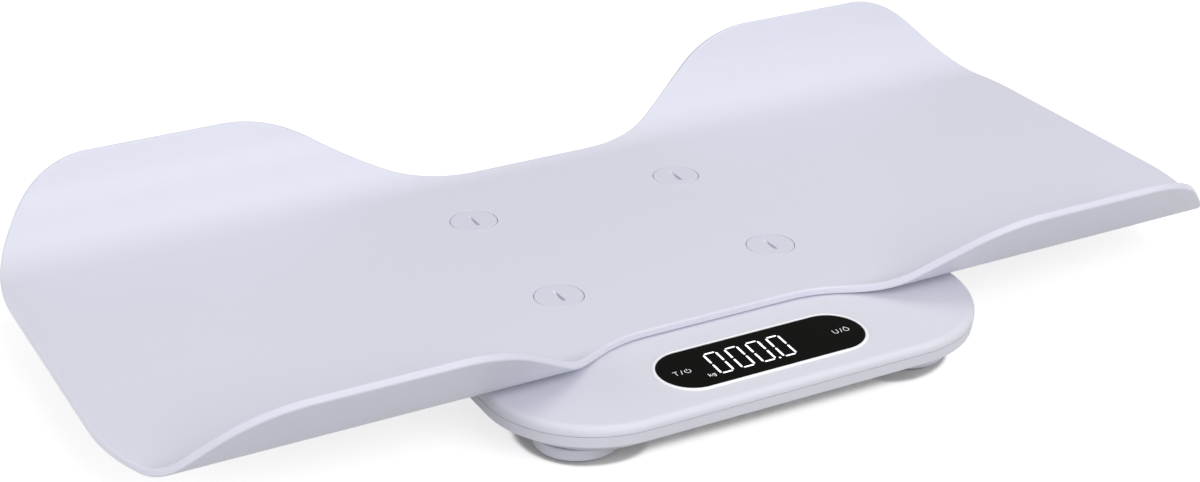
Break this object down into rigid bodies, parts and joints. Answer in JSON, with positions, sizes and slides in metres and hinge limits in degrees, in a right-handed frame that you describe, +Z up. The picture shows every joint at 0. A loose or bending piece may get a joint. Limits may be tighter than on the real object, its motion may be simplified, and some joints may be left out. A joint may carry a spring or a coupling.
{
  "type": "digital baby weighing scale",
  "caption": "Low digital baby scale: a long curved tray with raised, scalloped sides, locked by quarter-turn fasteners to a flat base with an oval display and round feet.",
  "frame": {"origin": "on the table, under the middle of the overall box", "axes": "+X along the tray, to the right as seen from the display side; +Y from the display side to the back; +Z up"},
  "size_m": [0.604, 0.3104, 0.0744],
  "materials": {
    "tray_plastic": "moulded, satin gloss",
    "housing_plastic": "moulded, fine satin",
    "fastener_plastic": "moulded, satin gloss",
    "lens_plastic": "back-printed, polished",
    "display_resin": "potted",
    "board_laminate": "solder resist",
    "pad_foil": "rolled",
    "screw_steel": "zinc plated",
    "contact_steel": "nickel plated",
    "cell_steel": "stamped",
    "retainer_plastic": "moulded",
    "foot_plastic": "moulded",
    "pad_rubber": "soft, matt",
    "battery_jacket": "shrink sleeve",
    "lead_sheath": "extruded"
  },
  "bodies": {
    "base": {"base_top_shell": "housing_plastic", "base_bottom_cover": "housing_plastic", "display_lens": "lens_plastic", "led_display": "display_resin", "main_board": "board_laminate", "touch_key_pads": "pad_foil", "board_screws": "screw_steel", "batteries": "battery_jacket", "battery_springs": "contact_steel", "battery_plates": "contact_steel", "cover_screws": "screw_steel", "foot_screws": "screw_steel", "retainer_screws": "screw_steel", "lead_front_left": "lead_sheath", "lead_front_right": "lead_sheath", "lead_back_left": "lead_sheath", "lead_back_right": "lead_sheath", "battery_lead": "lead_sheath", "foot_front_left": "foot_plastic", "foot_front_right": "foot_plastic", "foot_back_left": "foot_plastic", "foot_back_right": "foot_plastic", "foot_pad_front_left": "pad_rubber", "foot_pad_front_right": "pad_rubber", "foot_pad_back_left": "pad_rubber", "foot_pad_back_right": "pad_rubber", "load_cell_front_left": "cell_steel", "load_cell_front_right": "cell_steel", "load_cell_back_left": "cell_steel", "load_cell_back_right": "cell_steel", "cell_retainer_front_left": "retainer_plastic", "cell_retainer_front_right": "retainer_plastic", "cell_retainer_back_left": "retainer_plastic", "cell_retainer_back_right": "retainer_plastic"},
    "tray": {"tray": "tray_plastic"},
    "battery_door": {"battery_door": "housing_plastic"},
    "fastener_front_left": {"tray_fastener_front_left": "fastener_plastic", "fastener_clip_front_left": "contact_steel"},
    "fastener_front_right": {"tray_fastener_front_right": "fastener_plastic", "fastener_clip_front_right": "contact_steel"},
    "fastener_back_left": {"tray_fastener_back_left": "fastener_plastic", "fastener_clip_back_left": "contact_steel"},
    "fastener_back_right": {"tray_fastener_back_right": "fastener_plastic", "fastener_clip_back_right": "contact_steel"}
  },
  "joints": [
    {"name": "tray_lift", "type": "slide", "parent": "base", "child": "tray", "axis": [0, 0, 1], "range_m": [0, 0.1]},
    {"name": "fastener_turn_front_left", "type": "hinge", "parent": "tray", "child": "fastener_front_left", "pos_m": [-0.061, -0.03798, 0.0315], "axis": [0, 0, 1], "range_deg": [0, 90]},
    {"name": "fastener_turn_front_right", "type": "hinge", "parent": "tray", "child": "fastener_front_right", "pos_m": [0.061, -0.03798, 0.0315], "axis": [0, 0, 1], "range_deg": [0, 90]},
    {"name": "fastener_turn_back_left", "type": "hinge", "parent": "tray", "child": "fastener_back_left", "pos_m": [-0.061, 0.05903, 0.0315], "axis": [0, 0, 1], "range_deg": [0, 90]},
    {"name": "fastener_turn_back_right", "type": "hinge", "parent": "tray", "child": "fastener_back_right", "pos_m": [0.061, 0.05903, 0.0315], "axis": [0, 0, 1], "range_deg": [0, 90]},
    {"name": "battery_door_slide", "type": "slide", "parent": "base", "child": "battery_door", "axis": [0, 1, 0], "range_m": [0, 0.008]}
  ]
}
